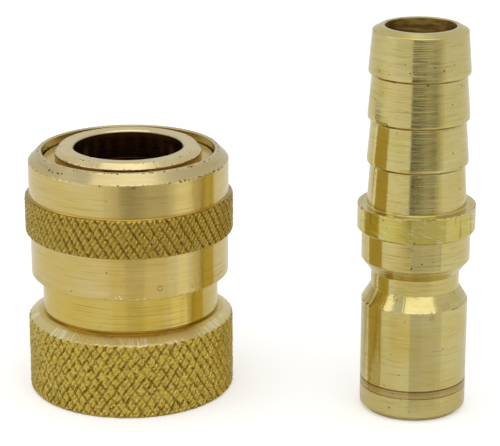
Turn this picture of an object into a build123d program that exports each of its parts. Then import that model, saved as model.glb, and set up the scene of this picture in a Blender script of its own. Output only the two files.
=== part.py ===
from build123d import *
import math
import os

# Ball-lock quick disconnect coupler for a hose line, shown uncoupled: the socket stands on its
# threaded base, and the plug stands beside it on its nose. Millimetres, +Z up.
# The origin is the centre of the socket's bottom face, on the axis of its thread and bore.

# ---- Female hose thread, 3/4-11.5 GHT, in the base ----
THREAD_PITCH = 25.4 / 11.5
THREAD_MINOR_R = 12.3
THREAD_MAJOR_R = 13.6
THREAD_ROOT_FLAT = 0.28
THREAD_FLANK = math.radians(30)
THREAD_CUT_IN = 0.25  # how far the cutter starts inside the crests
THREAD_START = 0.3  # height at which the groove begins, in the countersink
THREAD_TURNS = 1.9
THREAD_TOP = 5.5  # the plain lip that holds the washer in starts here
LIP_R = 12.35
LIP_TOP = 6.0
THREAD_COUNTERSINK = 0.45
RELIEF_R = 13.75
CAVITY_TOP = 8.3

# ---- End adapter: the knurled base ----
BASE_R = 15.7
BASE_EDGE = 0.6
GRIP_TOP = 11.2
BASE_TOP_R = 13.6
BASE_TOP = 12.5
SPIGOT_R = 11.4
SPIGOT_GAP = 0.02

# ---- Hose washer ----
WASHER_INNER_R = 8.2
WASHER_OUTER_R = 12.9

# ---- Socket body ----
NECK_R = 13.25
NECK_FOOT = 0.25
NECK_TOP = 19.2
TUBE_R = 11.0
TUBE_TOP = 37.8
TUBE_LIP_R = 10.25
WATERWAY_R = 6.5
STOP_Z = 10.4  # ledge under the plug's nose
BORE_R = 7.98
MOUTH_R = 8.15
MOUTH_Z = 33.5
MOUTH_CHAMFER = 0.3

# ---- Nose seal and its groove ----
SEAL_Z = 15.1
SEAL_SECTION_R = 1.2
SEAL_INNER_R = 7.65
SEAL_GROOVE_R = 10.1
SEAL_GROOVE_W = 3.1

# ---- Locking balls ----
BALL_COUNT = 8
BALL_FIRST_DEG = 22.5
BALL_R = 2.2
BALL_Z = 31.2
BALL_CENTRE_R = 8.75
BALL_TRAVEL = 1.5
BALL_SEAT_GAP = 0.03
BALL_HOLE_GAP = 0.05

# ---- Retaining ring and its groove ----
RING_Z = 34.95
RING_THICK = 1.1
RING_INNER_R = 10.35
RING_OUTER_R = 12.75
RING_GAP_DEG = 40
RING_GROOVE_R = 10.3
RING_GROOVE_GAP = 0.05

# ---- Release sleeve ----
SLEEVE_STROKE = 5.0
SLEEVE_BOTTOM = 18.3
SLEEVE_TOP = 37.25
SLEEVE_LOWER_R = 14.9
SLEEVE_UPPER_R = 15.0
SLEEVE_RIM_R = 13.56
SLEEVE_RIM_Z = 35.8
BAND_R = 15.75
BAND_BOTTOM = 24.85
BAND_TOP = 30.65
BAND_CHAMFER = 0.4
SKIRT_BORE_R = 13.4
SPRING_SEAT_Z = 28.8
LAND_R = 11.15
LAND_TOP = 31.4
LEDGE_Z = 34.85
COUNTERBORE_R = 12.95
SLEEVE_EDGE = 0.15

# ---- Sleeve spring ----
WIRE_R = 0.5
SPRING_MEAN_R = 12.2
SPRING_TURNS = 4.25
SPRING_END_TURNS = 0.75  # closed turn at each end
SPRING_STEPS_PER_TURN = 12

# ---- Plug, measured from its nose ----
PLUG_X = 42.55
PLUG_Y = -9.0
PLUG_TOP = 58.0
PLUG_BORE_R = 5.13
NOSE_R = 7.85
NOSE_CHAMFER = 0.8
NOSE_TOP = 17.0
NOSE_LINES_Z = (3.65, 4.8)
NOSE_LINE_W = 0.14
NOSE_LINE_DEEP = 0.07
GROOVE_R = 6.5
GROOVE_BOTTOM = 19.2
GROOVE_TOP = 21.45
SHOULDER_R = 7.97
SHOULDER_BOTTOM = 23.4
COLLAR_R = 8.65
COLLAR_BOTTOM = 27.65
COLLAR_TOP = 31.6
COLLAR_CHAMFER = 0.35
BARB_R = 7.4
BARB_ROOT_R = 6.92
BARB_START_R = 7.3
BARB_PEAKS_Z = (38.05, 44.6, 51.3)
BARB_LAND = 0.4
BARB_BACK = 0.4  # height of the steep back under each barb
TIP_Z = 57.4
TIP_R = 5.8

SMALLEST = 0.01


def turned(outline):
    """Solid turned about Z from a closed outline of (radius, height) points."""
    face = Plane.XZ * make_face(Polyline(*outline, close=True))
    return revolve(face, Axis.Z, 360)


def hose_thread_cutter():
    """Helical tooth that cuts the female hose thread, from the countersink to the washer's lip."""
    path = Helix(THREAD_PITCH, THREAD_PITCH * THREAD_TURNS, THREAD_MINOR_R, center=(0, 0, THREAD_START))
    inside_r = THREAD_MINOR_R - THREAD_CUT_IN
    root_half = THREAD_ROOT_FLAT / 2
    mouth_half = root_half + (THREAD_MAJOR_R - inside_r) * math.tan(THREAD_FLANK)
    tooth = Plane.XZ * make_face(
        Polyline(
            (THREAD_MAJOR_R, THREAD_START - root_half),
            (THREAD_MAJOR_R, THREAD_START + root_half),
            (inside_r, THREAD_START + mouth_half),
            (inside_r, THREAD_START - mouth_half),
            close=True,
        )
    )
    return sweep(tooth, path=path, is_frenet=True)


def end_adapter():
    """Knurled base: hose thread, washer lip and washer seat below, spigot hole above."""
    hole_r = SPIGOT_R + SPIGOT_GAP
    body = turned(
        [
            (THREAD_MINOR_R + THREAD_COUNTERSINK, 0),
            (BASE_R - BASE_EDGE, 0),
            (BASE_R, BASE_EDGE),
            (BASE_R, GRIP_TOP),
            (BASE_TOP_R, BASE_TOP),
            (hole_r, BASE_TOP),
            (hole_r, CAVITY_TOP),
            (RELIEF_R, CAVITY_TOP),
            (RELIEF_R, LIP_TOP),
            (LIP_R, LIP_TOP),
            (LIP_R, THREAD_TOP),
            (THREAD_MINOR_R, THREAD_TOP),
            (THREAD_MINOR_R, THREAD_COUNTERSINK),
        ]
    )
    return body - hose_thread_cutter()


def hose_washer():
    """Flat rubber washer against the ceiling of the thread."""
    return turned(
        [
            (WASHER_INNER_R, LIP_TOP),
            (WASHER_OUTER_R, LIP_TOP),
            (WASHER_OUTER_R, CAVITY_TOP),
            (WASHER_INNER_R, CAVITY_TOP),
        ]
    )


def ball_angles():
    return [BALL_FIRST_DEG + k * 360 / BALL_COUNT for k in range(BALL_COUNT)]


def ball_hole():
    """Radial hole along +X for one ball, with a round seat that the ball can't fall through."""
    seat = Pos(BALL_CENTRE_R, 0, BALL_Z) * Sphere(BALL_R + BALL_SEAT_GAP)
    length = TUBE_R + 1 - BALL_CENTRE_R
    drill = Pos(BALL_CENTRE_R + length / 2, 0, BALL_Z) * Rot(0, 90, 0) * Cylinder(
        BALL_R + BALL_HOLE_GAP, length
    )
    return seat + drill


def socket_body():
    """Spigot, neck and tube in one piece, bored through, with grooves for the seal and the ring."""
    lip_drop = TUBE_R - TUBE_LIP_R
    seal_low = SEAL_Z - SEAL_GROOVE_W / 2
    seal_high = SEAL_Z + SEAL_GROOVE_W / 2
    ring_low = RING_Z - RING_GROOVE_GAP
    ring_high = RING_Z + RING_THICK + RING_GROOVE_GAP
    body = turned(
        [
            (WATERWAY_R, CAVITY_TOP),
            (SPIGOT_R, CAVITY_TOP),
            (SPIGOT_R, BASE_TOP),
            (NECK_R - NECK_FOOT, BASE_TOP),
            (NECK_R, BASE_TOP + NECK_FOOT),
            (NECK_R, NECK_TOP),
            (TUBE_R, NECK_TOP),
            (TUBE_R, ring_low),
            (RING_GROOVE_R, ring_low),
            (RING_GROOVE_R, ring_high),
            (TUBE_R, ring_high),
            (TUBE_R, TUBE_TOP - lip_drop),
            (TUBE_LIP_R, TUBE_TOP),
            (MOUTH_R + MOUTH_CHAMFER, TUBE_TOP),
            (MOUTH_R, TUBE_TOP - MOUTH_CHAMFER),
            (MOUTH_R, MOUTH_Z),
            (BORE_R, MOUTH_Z),
            (BORE_R, seal_high),
            (SEAL_GROOVE_R, seal_high),
            (SEAL_GROOVE_R, seal_low),
            (BORE_R, seal_low),
            (BORE_R, STOP_Z),
            (WATERWAY_R, STOP_Z),
        ]
    )
    for angle in ball_angles():
        body -= Rot(0, 0, angle) * ball_hole()
    return body


def release_sleeve():
    """Outer sleeve. Its land holds the balls in, and its ramp lets them out as it is pulled down."""
    ramp = BALL_TRAVEL / SLEEVE_STROKE
    ledge_r = LAND_R + ramp * (LEDGE_Z - LAND_TOP)
    return turned(
        [
            (SKIRT_BORE_R, SLEEVE_BOTTOM),
            (SLEEVE_LOWER_R - SLEEVE_EDGE, SLEEVE_BOTTOM),
            (SLEEVE_LOWER_R, SLEEVE_BOTTOM + SLEEVE_EDGE),
            (SLEEVE_LOWER_R, BAND_BOTTOM),
            (BAND_R - BAND_CHAMFER, BAND_BOTTOM),
            (BAND_R, BAND_BOTTOM + BAND_CHAMFER),
            (BAND_R, BAND_TOP - BAND_CHAMFER),
            (BAND_R - BAND_CHAMFER, BAND_TOP),
            (SLEEVE_UPPER_R, BAND_TOP),
            (SLEEVE_UPPER_R, SLEEVE_RIM_Z),
            (SLEEVE_RIM_R, SLEEVE_TOP),
            (COUNTERBORE_R, SLEEVE_TOP),
            (COUNTERBORE_R, LEDGE_Z),
            (ledge_r, LEDGE_Z),
            (LAND_R, LAND_TOP),
            (LAND_R, SPRING_SEAT_Z),
            (SKIRT_BORE_R, SPRING_SEAT_Z),
        ]
    )


def retaining_ring():
    """Open ring sprung into the tube's upper groove. It stops the sleeve's upward travel."""
    ring = turned(
        [
            (RING_INNER_R, RING_Z),
            (RING_OUTER_R, RING_Z),
            (RING_OUTER_R, RING_Z + RING_THICK),
            (RING_INNER_R, RING_Z + RING_THICK),
        ]
    )
    reach = RING_OUTER_R * 2
    half = math.radians(RING_GAP_DEG / 2)
    across = reach * math.sin(half)
    along = reach * math.cos(half)
    wedge = make_face(Polyline((0, 0), (-across, -along), (across, -along), close=True))
    return ring - Pos(0, 0, RING_Z - 1) * extrude(wedge, RING_THICK + 2)


def lock_ball(angle):
    """One ball in its locked place, resting just clear of its seat."""
    return Rot(0, 0, angle) * Pos(BALL_CENTRE_R, 0, BALL_Z) * Sphere(BALL_R)


def nose_seal():
    """O-ring in the bore's lower groove."""
    return Pos(0, 0, SEAL_Z) * Torus(SEAL_INNER_R + SEAL_SECTION_R, SEAL_SECTION_R)


def spring_wire_z(turn):
    """Height of the wire's centre after so many turns: closed ends, open middle."""
    low = NECK_TOP + WIRE_R
    high = SPRING_SEAT_Z - WIRE_R
    closed_rise = 2 * WIRE_R * SPRING_END_TURNS
    open_turns = SPRING_TURNS - 2 * SPRING_END_TURNS
    open_rise = high - low - 2 * closed_rise
    share = min(max((turn - SPRING_END_TURNS) / open_turns, 0), 1)
    closed = min(turn, SPRING_END_TURNS) + max(turn - SPRING_END_TURNS - open_turns, 0)
    return low + 2 * WIRE_R * closed + open_rise * share


def sleeve_spring():
    """Compression spring with closed ends, ground flat where it meets the neck and the sleeve."""
    steps = round(SPRING_TURNS * SPRING_STEPS_PER_TURN)
    points = []
    for step in range(steps + 1):
        turn = SPRING_TURNS * step / steps
        angle = 2 * math.pi * turn
        x = SPRING_MEAN_R * math.cos(angle)
        y = SPRING_MEAN_R * math.sin(angle)
        points.append((x, y, spring_wire_z(turn)))
    path = Spline(*points)
    section = Plane(origin=path @ 0, z_dir=path % 0) * Circle(WIRE_R)
    wire = sweep(section, path=path, is_frenet=True)
    gap = NECK_TOP + 2 * SMALLEST
    height = SPRING_SEAT_Z - 2 * SMALLEST - gap
    slab = Pos(0, 0, gap + height / 2) * Cylinder(SPRING_MEAN_R + 2, height)
    return wire & slab


def barb_outline():
    """Outer outline of the hose tail, from the collar up to the tip."""
    points = [(BARB_START_R, COLLAR_TOP)]
    for peak in BARB_PEAKS_Z:
        points.append((BARB_ROOT_R, peak - BARB_BACK))
        points.append((BARB_R, peak))
        points.append((BARB_R, peak + BARB_LAND))
    points.append((BARB_ROOT_R, TIP_Z))
    points.append((TIP_R, PLUG_TOP))
    return points


def nose_line_outline(z):
    """One fine line turned round the nose."""
    half = NOSE_LINE_W / 2
    return [(NOSE_R, z - half), (NOSE_R - NOSE_LINE_DEEP, z), (NOSE_R, z + half)]


def plug():
    """Nose, locking groove, shoulder, collar and three-barb hose tail, all turned from one bar."""
    outline = [(PLUG_BORE_R, 0), (NOSE_R - NOSE_CHAMFER, 0), (NOSE_R, NOSE_CHAMFER)]
    for z in NOSE_LINES_Z:
        outline += nose_line_outline(z)
    outline += [
        (NOSE_R, NOSE_TOP),
        (GROOVE_R, GROOVE_BOTTOM),
        (GROOVE_R, GROOVE_TOP),
        (SHOULDER_R, SHOULDER_BOTTOM),
        (SHOULDER_R, COLLAR_BOTTOM),
        (COLLAR_R - COLLAR_CHAMFER, COLLAR_BOTTOM),
        (COLLAR_R, COLLAR_BOTTOM + COLLAR_CHAMFER),
        (COLLAR_R, COLLAR_TOP),
    ]
    outline += barb_outline()
    outline.append((PLUG_BORE_R, PLUG_TOP))
    return Pos(PLUG_X, PLUG_Y, 0) * turned(outline)


def all_nodes():
    """Every node's solid by name."""
    nodes = {
        "end_adapter": end_adapter(),
        "hose_washer": hose_washer(),
        "socket_body": socket_body(),
        "nose_seal": nose_seal(),
        "retaining_ring": retaining_ring(),
        "sleeve_spring": sleeve_spring(),
        "release_sleeve": release_sleeve(),
        "plug": plug(),
    }
    for number, angle in enumerate(ball_angles(), start=1):
        nodes[f"lock_ball_{number}"] = lock_ball(angle)
    return nodes


os.makedirs("parts", exist_ok=True)
for name, shape in all_nodes().items():
    export_step(shape, f"parts/{name}.step")
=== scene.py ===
import math

import bmesh
import bpy
import numpy as np
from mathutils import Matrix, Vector


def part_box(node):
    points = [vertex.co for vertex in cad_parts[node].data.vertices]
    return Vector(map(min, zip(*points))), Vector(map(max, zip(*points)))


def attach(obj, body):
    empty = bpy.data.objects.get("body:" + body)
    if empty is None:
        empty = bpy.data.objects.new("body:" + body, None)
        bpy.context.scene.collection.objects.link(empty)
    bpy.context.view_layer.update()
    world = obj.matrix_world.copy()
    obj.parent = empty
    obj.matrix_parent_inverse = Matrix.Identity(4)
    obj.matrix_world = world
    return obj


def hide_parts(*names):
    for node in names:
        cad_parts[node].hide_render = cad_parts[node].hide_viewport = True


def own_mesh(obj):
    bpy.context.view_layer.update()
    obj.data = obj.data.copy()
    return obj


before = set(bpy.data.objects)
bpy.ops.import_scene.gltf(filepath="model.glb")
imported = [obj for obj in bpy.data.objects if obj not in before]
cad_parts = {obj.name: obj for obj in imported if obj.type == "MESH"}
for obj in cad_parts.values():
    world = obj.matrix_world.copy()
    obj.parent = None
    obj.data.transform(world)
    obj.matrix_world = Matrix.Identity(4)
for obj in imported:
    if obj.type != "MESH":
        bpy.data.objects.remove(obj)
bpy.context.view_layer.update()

# Looks of a brass quick disconnect coupler: a ball-lock socket with a knurled base and a sliding
# sleeve, and its barbed plug standing beside it. Lengths are in millimetres until a mesh is made.
MM = 0.001
TURN = 2 * math.pi

# ---- Socket, about its own axis ----
BASE_R = 15.7
BASE_EDGE = 0.6
GRIP_TOP = 11.2
BASE_TOP_R = 13.6
BASE_TOP = 12.5
SPIGOT_R = 11.4
SPIGOT_HOLE_R = 11.42
THREAD_PITCH = 25.4 / 11.5
THREAD_MINOR_R = 12.3
THREAD_MAJOR_R = 13.6
THREAD_ROOT_HALF = 0.14
THREAD_FLANK = math.radians(30)
THREAD_START = 0.3
THREAD_TURNS = 1.9
THREAD_COUNTERSINK = 0.45
THREAD_RUNOUT = 0.03  # turns over which the groove ends
THREAD_TOP = 5.5
LIP_R = 12.35
LIP_TOP = 6.0
RELIEF_R = 13.75
CAVITY_TOP = 8.3
WASHER_INNER_R = 8.2
WASHER_OUTER_R = 12.9
WASHER_CROWN = 0.12
RUBBER_GAP = 0.02  # between a rubber piece and the metal round it
NECK_R = 13.25
NECK_FOOT = 0.25
NECK_TOP = 19.2
TUBE_R = 11.0
TUBE_LIP_R = 10.25
TUBE_TOP = 37.8
TUBE_SHOULDER_Z = TUBE_TOP - (TUBE_R - TUBE_LIP_R)
WATERWAY_R = 6.5
STOP_Z = 10.4
BORE_R = 7.98
MOUTH_R = 8.15
MOUTH_Z = 33.5
MOUTH_CHAMFER = 0.3
SEAL_Z = 15.1
SEAL_CENTRE_R = 8.85
SEAL_SECTION_R = 1.2
FLASH_PROUD = 0.018  # share of the section's radius
FLASH_WIDTH = 0.08
SEAL_GROOVE_R = 10.1
SEAL_GROOVE_HALF = 1.55
RING_Z = 34.95
RING_THICK = 1.1
RING_INNER_R = 10.35
RING_OUTER_R = 12.75
RING_GAP_DEG = 40
RING_GROOVE_R = 10.3
RING_GROOVE_GAP = 0.05
BALL_COUNT = 8
BALL_FIRST_DEG = 22.5
BALL_R = 2.2
BALL_Z = 31.2
BALL_CENTRE_R = 8.75
BALL_SEAT_R = 2.23
BALL_HOLE_R = 2.25

# ---- Release sleeve and its spring ----
SLEEVE_BOTTOM = 18.3
SLEEVE_TOP = 37.25
SLEEVE_LOWER_R = 14.9
SLEEVE_UPPER_R = 15.0
SLEEVE_RIM_R = 13.56
SLEEVE_RIM_Z = 35.8
BAND_R = 15.75
BAND_BOTTOM = 24.85
BAND_TOP = 30.65
BAND_CHAMFER = 0.4
SKIRT_BORE_R = 13.4
SPRING_SEAT_Z = 28.8
LAND_R = 11.15
LAND_TOP = 31.4
LEDGE_Z = 34.85
LEDGE_R = 12.185
COUNTERBORE_R = 12.95
WIRE_R = 0.5
SPRING_R = 12.2
SPRING_TURNS = 4.25
SPRING_CLOSED = 0.75  # turns at each end
GROUND_OFF = 0.12

# ---- Plug, from its nose up ----
PLUG_BORE_R = 5.13
PLUG_TOP = 58.0
NOSE_R = 7.85
NOSE_CHAMFER = 0.8
NOSE_TOP = 17.0
NOSE_LINES_Z = (3.65, 4.8)
NOSE_LINE_HALF = 0.07
NOSE_LINE_DEEP = 0.07
GROOVE_R = 6.5
GROOVE_BOTTOM = 19.2
GROOVE_TOP = 21.45
SHOULDER_R = 7.97
SHOULDER_BOTTOM = 23.4
COLLAR_R = 8.65
COLLAR_BOTTOM = 27.65
COLLAR_TOP = 31.6
COLLAR_CHAMFER = 0.35
BARB_R = 7.4
BARB_ROOT_R = 6.92
BARB_START_R = 7.3
BARB_PEAKS_Z = (38.05, 44.6, 51.3)
BARB_LAND = 0.4
BARB_BACK = 0.4
TIP_Z = 57.4
TIP_R = 5.8

# ---- Mesh fineness ----
ARC_STEPS = 4  # on a rounded corner; a sharp one has half as many
SHARP = 0.11  # smallest corner radius that counts as rounded
LONGEST_CUT = 0.42  # share of a side that one rounded corner may take
EASE = 0.05  # distance from a rounded corner to the row that keeps the flat beside it flat
LARGEST_EASE = 0.25  # share of a short side
ONE_STEP = 100.0  # row spacing on a face that needs no rows of its own
NICK_REACH = 0.2  # rows at this spacing beside an edge let a nick in it stay small
BASE_SEGMENTS = 528
SLEEVE_SEGMENTS = 576
BODY_SEGMENTS = 360
PLUG_SEGMENTS = 432
RUBBER_SEGMENTS = 256
RING_COLUMNS = 300
SEAL_SIDES = 48
DRILL_SIDES = 64
WIRE_SIDES = 20
WIRE_STEPS_PER_TURN = 72
BALL_SUBDIVISIONS = 5


def plug_axis():
    """The plug's axis in millimetres, from where its node stands."""
    low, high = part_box("plug")
    return (low.x + high.x) / 2 / MM, (low.y + high.y) / 2 / MM


PLUG_AXIS = plug_axis()
SOCKET_AXIS = (0.0, 0.0)


# ========== Meshes


def unit(vector):
    return vector / np.linalg.norm(vector)


def corner_arc(before, here, after, corner_radius):
    """Points of the arc that rounds off one corner, or the corner itself if it is sharp."""
    if corner_radius == 0:
        return here[None, :]
    back, ahead = unit(before - here), unit(after - here)
    half = 0.5 * math.acos(np.clip(back @ ahead, -1, 1))
    reach = LONGEST_CUT * min(np.linalg.norm(before - here), np.linalg.norm(after - here))
    cut = min(corner_radius / math.tan(half), reach)
    radius = cut * math.tan(half)
    centre = here + unit(back + ahead) * radius / math.sin(half)
    start = np.arctan2(*(here + back * cut - centre)[::-1])
    end = np.arctan2(*(here + ahead * cut - centre)[::-1])
    sweep = (end - start + math.pi) % TURN - math.pi
    steps = ARC_STEPS if corner_radius > SHARP else ARC_STEPS // 2
    angles = start + sweep * np.linspace(0, 1, steps + 1)
    return centre + radius * np.stack([np.cos(angles), np.sin(angles)], 1)


def side_steps(length, spacing=None):
    """Distances along a straight side at which it has rows."""
    ease = min(EASE, LARGEST_EASE * length)
    inner = max(1, math.ceil((length - 2 * ease) / (spacing or length)))
    steps = list(ease + (length - 2 * ease) * np.arange(inner + 1) / inner)
    if spacing is None and length > 6 * NICK_REACH:
        steps[1:1] = [NICK_REACH, 2 * NICK_REACH, length - 2 * NICK_REACH, length - NICK_REACH]
    return steps


def rounded(corners):
    """Rows of a closed outline of (radius, height, corner radius, row spacing after it) corners."""
    points = [np.array(corner[:2], float) for corner in corners]
    arcs = [
        corner_arc(points[i - 1], points[i], points[(i + 1) % len(points)], corner[2])
        for i, corner in enumerate(corners)
    ]
    rows = []
    for i, arc in enumerate(arcs):
        start, end = arc[-1], arcs[(i + 1) % len(arcs)][0]
        length = np.linalg.norm(end - start)
        rows += list(arc)
        rows += [start + (end - start) * step / length for step in side_steps(length, *corners[i][3:])]
    return np.array(rows)


def grid_faces(rows, columns, row_first, close_rows=True, close_columns=True):
    """Quads over a grid of points, wrapping round where asked. row_first is their way round."""
    i = np.arange(rows if close_rows else rows - 1)[:, None]
    j = np.arange(columns if close_columns else columns - 1)[None, :]
    down, right = (i + 1) % rows, (j + 1) % columns
    corners = [i * columns + j, i * columns + right, down * columns + right, down * columns + j]
    quads = np.stack([np.broadcast_to(c, (i.size, j.size)) for c in corners], -1).reshape(-1, 4)
    return quads if row_first else quads[:, ::-1]


def end_caps(rows, sides):
    """One face over each end of a tube's grid of points."""
    return [list(range(sides))[::-1], list(range((rows - 1) * sides, rows * sides))]


def about_z(r, z, angle):
    """Points at the radii, heights and angles, which spread over each other."""
    return np.stack([r * np.cos(angle), r * np.sin(angle), z + 0 * angle], -1)


def add_to_scene(data):
    piece = bpy.data.objects.new(data.name, data)
    bpy.context.scene.collection.objects.link(piece)
    return piece


def smooth_piece(mesh):
    mesh.polygons.foreach_set("use_smooth", [True] * len(mesh.polygons))
    mesh.update()
    return add_to_scene(mesh)


def make_object(name, points_mm, quads, extra_faces=(), groove_dirt_and_shade=None):
    """Smooth-shaded object from points in millimetres; the share of dirt and painted shade in its
    grooves is one number per point.
    """
    mesh = bpy.data.meshes.new(name)
    faces = quads.tolist() + list(extra_faces)
    mesh.from_pydata((points_mm.reshape(-1, 3) * MM).tolist(), [], faces)
    if groove_dirt_and_shade is not None:
        layer = mesh.attributes.new("groove_dirt_and_shade", "FLOAT", "POINT")
        layer.data.foreach_set("value", groove_dirt_and_shade.astype(np.float32).ravel())
    return smooth_piece(mesh)


def one_face(name, points):
    return make_object(name, np.array(points), np.array([[0, 1, 2, 3]]))


def dented(points, normals, dents):
    """Points pushed in at each (place, size, depth)."""
    for place, size, depth in dents:
        near = np.exp(-np.sum((points - place) ** 2, -1) / size**2)
        points = points - normals * (depth * near)[..., None]
    return points


def turned_object(name, corners, segments, axis, reshape=None, dents=()):
    """A ring turned from a closed outline. reshape(r, z, angle) gives new radii and a share of groove
    dirt and painted shade.
    """
    rows = rounded(corners)
    angle = np.arange(segments) * TURN / segments
    r = np.repeat(rows[:, :1], segments, 1)
    z = np.repeat(rows[:, 1:], segments, 1)
    groove_dirt_and_shade = np.zeros_like(r)
    if reshape:
        r, groove_dirt_and_shade = reshape(r, z, np.broadcast_to(angle, r.shape))
    along = np.roll(rows, -1, 0) - np.roll(rows, 1, 0)
    along /= np.maximum(np.linalg.norm(along, axis=1), 1e-9)[:, None]
    turning = np.sum(rows[:, 0] * np.roll(rows[:, 1], -1) - rows[:, 1] * np.roll(rows[:, 0], -1))
    side = 1 if turning > 0 else -1
    normals = about_z(side * along[:, 1:], -side * along[:, :1], angle)
    points = dented(about_z(r, z, angle), normals, dents) + np.array([axis[0], axis[1], 0.0])
    return make_object(name, points, grid_faces(len(rows), segments, side > 0), groove_dirt_and_shade=groove_dirt_and_shade)


DENT_SPREAD = 0.05  # of a dent's height about its edge


def ring_dents(random, count, r, z, size, depth):
    """Small random dents scattered round an edge at one radius and height."""
    dents = []
    for angle in random.uniform(0, TURN, count):
        place = np.array([r * math.cos(angle), r * math.sin(angle), z + random.normal(0, DENT_SPREAD)])
        dents.append((place, size * random.uniform(0.5, 1.6), depth * random.uniform(0.3, 1.0)))
    return dents


# ========== Knurls and thread


def v_groove(phase, width):
    """1 at the bottom of a V groove at each whole phase, 0 on the land between grooves."""
    distance = np.abs(phase - np.round(phase))
    return np.clip(1 - distance / width, 0, 1)


def ripple(z, angle, random, waves, fineness):
    """Smooth unevenness round a turned face, about -1 to 1."""
    total = np.zeros_like(z)
    for _ in range(waves):
        round_waves = random.randint(1, fineness)
        z_waves = random.uniform(-fineness, fineness) / BAND_R
        total += np.cos(round_waves * angle + z_waves * z + random.uniform(0, TURN))
    return total / math.sqrt(waves)


# Count and fineness of the waves in each kind of unevenness.
DRIFT_WAVES = (10, 32)
DEPTH_WAVES = (18, 110)
WEAR_WAVES = (24, 160)
DEEPEST = 1.15


def knurl(z, angle, radius, count, slant, tracks, width, uneven, wander):
    """Depth share of two crossing families of V grooves, each a list of (phase, depth) tracks."""
    random = np.random.RandomState(count)
    lead = TURN * radius / (count * math.tan(slant))
    total = np.zeros_like(z)
    for sign, family in zip((1, -1), tracks):
        drift = wander * ripple(z, angle, random, *DRIFT_WAVES)
        for start, depth in family:
            phase = count * angle / TURN + sign * z / lead + start + drift
            strength = depth * (1 + uneven * ripple(z, angle, random, *DEPTH_WAVES))
            total = np.maximum(total, strength * v_groove(phase, width))
    worn = 0.5 * uneven * np.clip(ripple(z, angle, random, *WEAR_WAVES), 0, None)
    return np.clip(np.maximum(total, worn), 0, DEEPEST)


SLEEVE_KNURL = dict(
    radius=BAND_R, count=64, slant=math.radians(33), width=0.28, uneven=0.19, wander=0.04,
    tracks=(((0.0, 1.0), (0.5, 0.38)), ((0.0, 0.80), (0.5, 0.70))),
)
SLEEVE_KNURL_DEEP = 0.46
BASE_KNURL = dict(
    radius=BASE_R, count=64, slant=math.radians(35), width=0.33, uneven=0.26, wander=0.08,
    tracks=(((0.0, 0.95), (0.5, 0.50)), ((0.0, 1.0), (0.5, 0.66))),
)
BASE_KNURL_DEEP = 0.50


def sleeve_knurl(r, z, angle):
    """The sleeve's band, cut with its knurl; chamfers and faces are cut by the same grooves."""
    grooves = knurl(z, angle, **SLEEVE_KNURL)
    on_band = (r > SLEEVE_UPPER_R + 0.1) & (z > BAND_BOTTOM - 0.1) & (z < BAND_TOP + 0.1)
    cut = np.minimum(r, BAND_R - SLEEVE_KNURL_DEEP * grooves)
    return np.where(on_band, cut, r), np.where(on_band, np.clip(grooves, 0, 1), 0)


def thread_radius(z, angle):
    """Wall radius of the female thread at each height and angle."""
    turn = (z - THREAD_START) / THREAD_PITCH - angle / TURN
    nearest = np.clip(np.round(turn), 0, math.floor(THREAD_TURNS))
    away = np.abs(turn - nearest) * THREAD_PITCH
    wall = THREAD_MAJOR_R - (away - THREAD_ROOT_HALF) / math.tan(THREAD_FLANK)
    cut = np.clip(wall, THREAD_MINOR_R, THREAD_MAJOR_R) - THREAD_MINOR_R
    left = THREAD_TURNS - nearest - angle / TURN
    return THREAD_MINOR_R + cut * np.clip(left / THREAD_RUNOUT, 0, 1)


def base_cuts(r, z, angle):
    """The base's knurl outside, trimmed by its cone and chamfer, and the hose thread inside."""
    grooves = knurl(z, angle, **BASE_KNURL)
    outside = (r > BASE_TOP_R + 0.5) & (z > 0.02)
    inside = (r < RELIEF_R - 0.5) & (z < THREAD_TOP - 0.02) & (z > 0.02)
    cut = np.minimum(r, BASE_R - BASE_KNURL_DEEP * grooves)
    shaped = np.where(outside, cut, r)
    shaped = np.where(inside, np.maximum(r, thread_radius(z, angle)), shaped)
    low = np.clip((shaped - THREAD_MINOR_R) / (THREAD_MAJOR_R - THREAD_MINOR_R), 0, 1)
    groove_dirt_and_shade = np.where(outside & (shaped < r - 1e-4), np.clip(grooves, 0, 1), 0)
    return shaped, np.where(inside, 0.5 * low, groove_dirt_and_shade)


# ========== Pieces


def build_base():
    corners = [
        (THREAD_MINOR_R + THREAD_COUNTERSINK, 0, 0.05),
        (BASE_R - BASE_EDGE, 0, 0.12, 0.4),
        (BASE_R, BASE_EDGE, 0.15, 0.16),
        (BASE_R, GRIP_TOP, 0.02, 0.16),
        (BASE_TOP_R, BASE_TOP, 0.15, ONE_STEP),
        (SPIGOT_HOLE_R, BASE_TOP, 0.05, ONE_STEP),
        (SPIGOT_HOLE_R, CAVITY_TOP, 0.05, ONE_STEP),
        (RELIEF_R, CAVITY_TOP, 0.2, ONE_STEP),
        (RELIEF_R, LIP_TOP, 0.1),
        (LIP_R, LIP_TOP, 0.1),
        (LIP_R, THREAD_TOP, 0.0),
        (THREAD_MINOR_R, THREAD_TOP, 0.0, 0.22),
        (THREAD_MINOR_R, THREAD_COUNTERSINK, 0.05, 0.15),
    ]
    random = np.random.RandomState(11)
    dents = ring_dents(random, 26, BASE_R - 0.3, BASE_EDGE / 2, 0.35, 0.10)
    return turned_object("base_turned", corners, BASE_SEGMENTS, SOCKET_AXIS, base_cuts, dents)


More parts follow.
